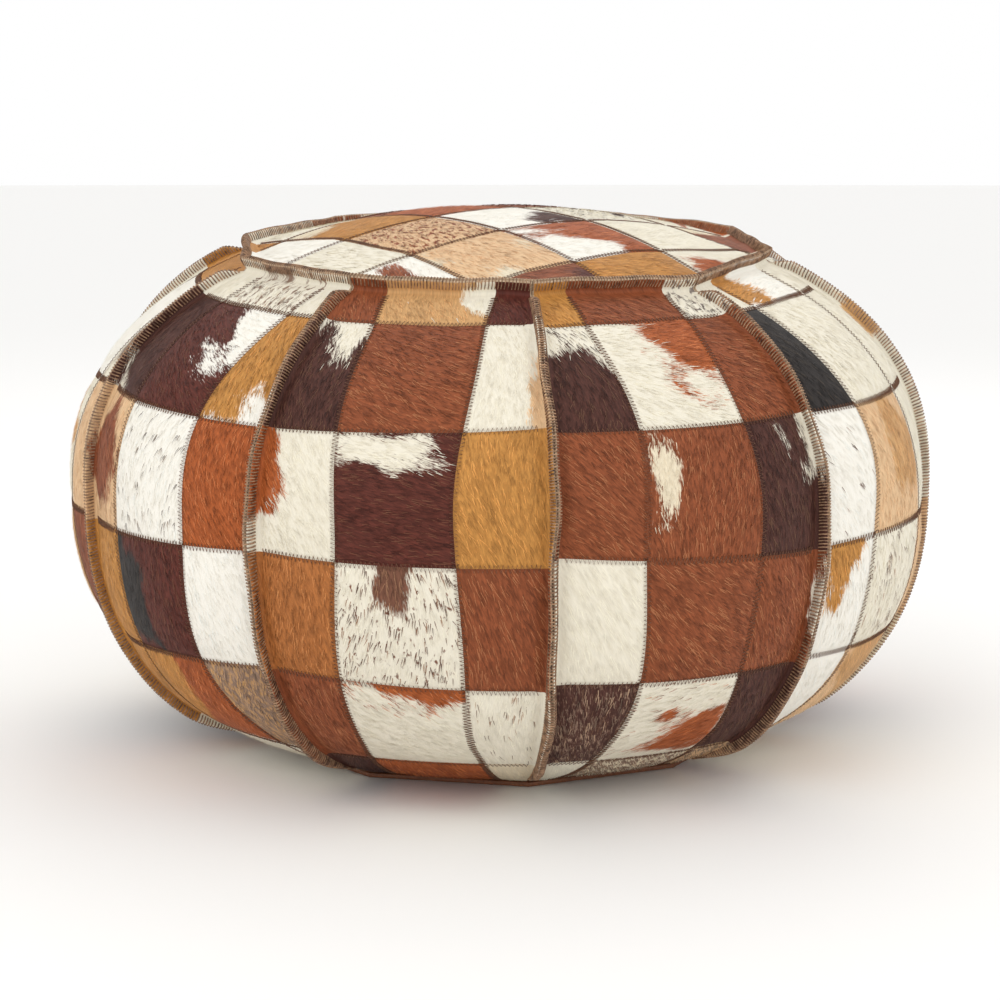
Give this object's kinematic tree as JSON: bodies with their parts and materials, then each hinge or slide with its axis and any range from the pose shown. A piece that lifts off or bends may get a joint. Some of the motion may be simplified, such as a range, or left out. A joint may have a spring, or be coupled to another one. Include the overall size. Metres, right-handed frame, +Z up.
{
  "type": "floor pouf",
  "caption": "Round stuffed floor pouf with a patchwork cowhide cover, raised bound seams, and a leather base closed by a zip.",
  "frame": {"origin": "centre of the base, on the floor", "axes": "+Z up; -Y is the front, the side the settled top leans to; +X is to the right seen from the front, along the zip from its closed end to its open end"},
  "size_m": [0.5966, 0.6012, 0.3666],
  "materials": {
    "patchwork_hide": "matte",
    "brown_thread": "matte",
    "base_leather": "satin",
    "bag_cotton": "matte",
    "stuffing": "matte",
    "zip_tape": "matte",
    "zip_brass": "satin"
  },
  "bodies": {
    "pouf": {"gore_panel_01": "patchwork_hide", "gore_panel_02": "patchwork_hide", "gore_panel_03": "patchwork_hide", "gore_panel_04": "patchwork_hide", "gore_panel_05": "patchwork_hide", "gore_panel_06": "patchwork_hide", "gore_panel_07": "patchwork_hide", "gore_panel_08": "patchwork_hide", "gore_panel_09": "patchwork_hide", "gore_panel_10": "patchwork_hide", "top_panel": "patchwork_hide", "gore_seam_01": "brown_thread", "gore_seam_02": "brown_thread", "gore_seam_03": "brown_thread", "gore_seam_04": "brown_thread", "gore_seam_05": "brown_thread", "gore_seam_06": "brown_thread", "gore_seam_07": "brown_thread", "gore_seam_08": "brown_thread", "gore_seam_09": "brown_thread", "gore_seam_10": "brown_thread", "top_rim_seam": "brown_thread", "base_panel_front": "base_leather", "base_panel_back": "base_leather", "inner_bag": "bag_cotton", "stuffing": "stuffing", "zip_tape_front": "zip_tape", "zip_tape_back": "zip_tape", "zip_teeth_front": "zip_brass", "zip_teeth_back": "zip_brass", "zip_stop_closed": "zip_brass", "zip_stop_open": "zip_brass"},
    "slider": {"zip_slider": "zip_brass"},
    "puller": {"zip_puller": "zip_brass"}
  },
  "joints": [
    {"name": "zip_slide", "type": "slide", "parent": "pouf", "child": "slider", "axis": [1, 0, 0], "range_m": [0, 0.1754]},
    {"name": "puller_swing", "type": "hinge", "parent": "slider", "child": "puller", "pos_m": [-0.0877, 0, 0.0054], "axis": [0, 1, 0], "range_deg": [0, 180]}
  ]
}
